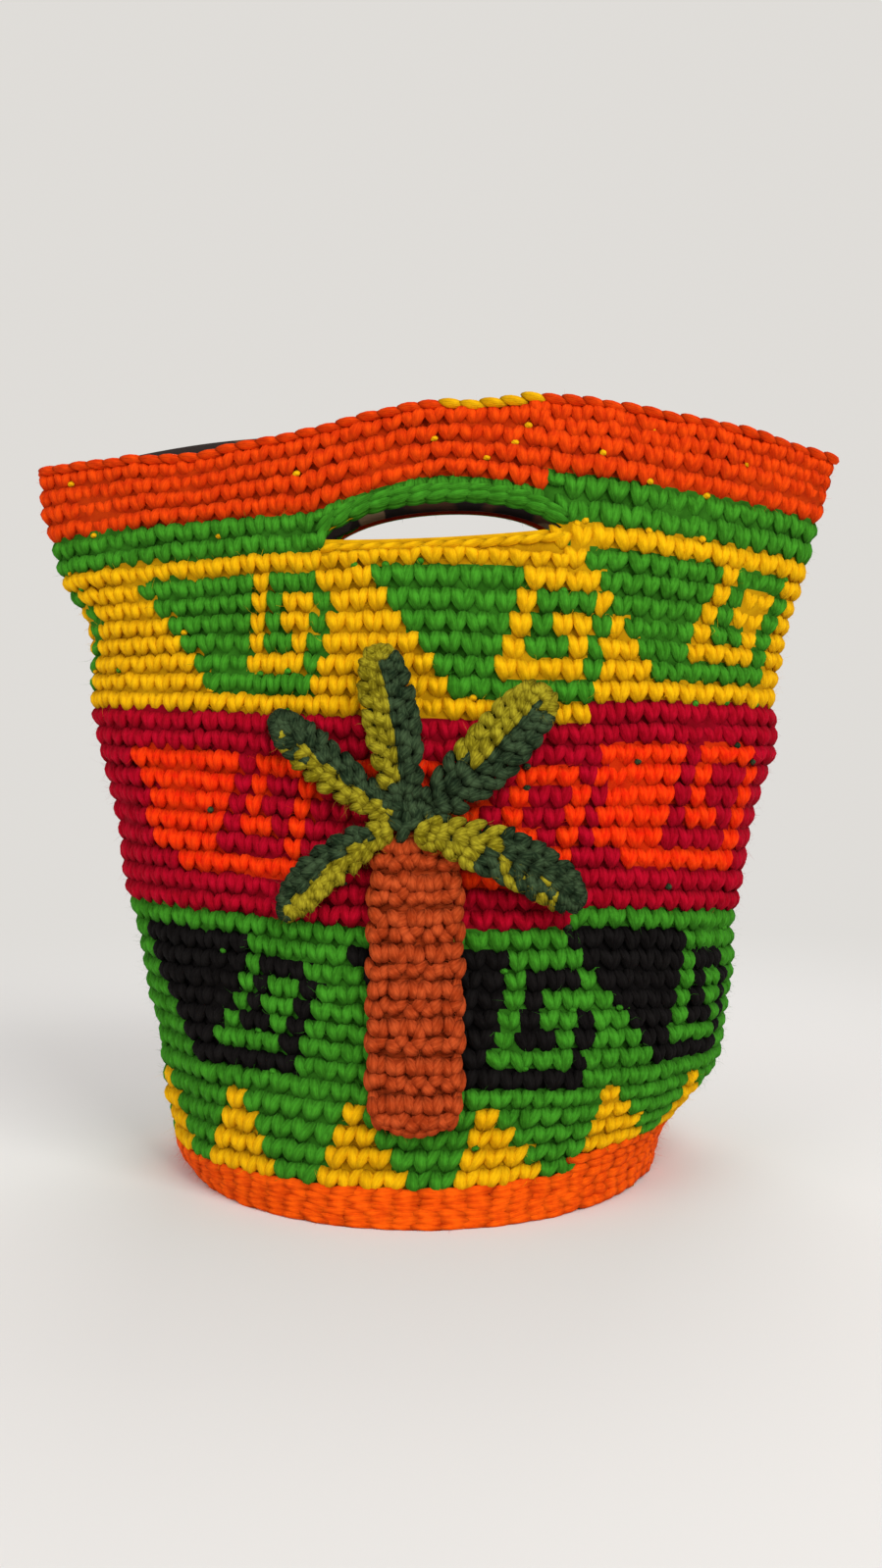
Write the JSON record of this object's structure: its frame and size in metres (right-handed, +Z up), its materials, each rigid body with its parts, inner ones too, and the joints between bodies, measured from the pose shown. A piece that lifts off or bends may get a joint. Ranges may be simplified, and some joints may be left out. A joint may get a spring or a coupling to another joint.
{
  "type": "crocheted handbag",
  "caption": "Round-based crocheted bucket handbag with hand slots through the front and back, a sewn fabric lining and a palm tree applique",
  "frame": {"origin": "middle of the flat underside", "axes": "+Z up, the front with the palm tree faces -Y, the mouth is widest along X"},
  "size_m": [0.2534, 0.162, 0.2363],
  "materials": {
    "crochet_yarn": "crocheted worsted yarn in orange, green, yellow, red and black",
    "lining_cotton": "printed dark cotton cloth",
    "trunk_yarn": "crocheted rust-brown yarn",
    "leaf_yarn": "crocheted dark green and olive yarn"
  },
  "bodies": {
    "root": {"bag_body": "crochet_yarn", "lining": "lining_cotton", "palm_trunk": "trunk_yarn", "palm_leaf_upper_left": "leaf_yarn", "palm_leaf_top": "leaf_yarn", "palm_leaf_upper_right": "leaf_yarn", "palm_leaf_lower_left": "leaf_yarn", "palm_leaf_lower_right": "leaf_yarn", "leaf_tie": "leaf_yarn"}
  },
  "joints": []
}
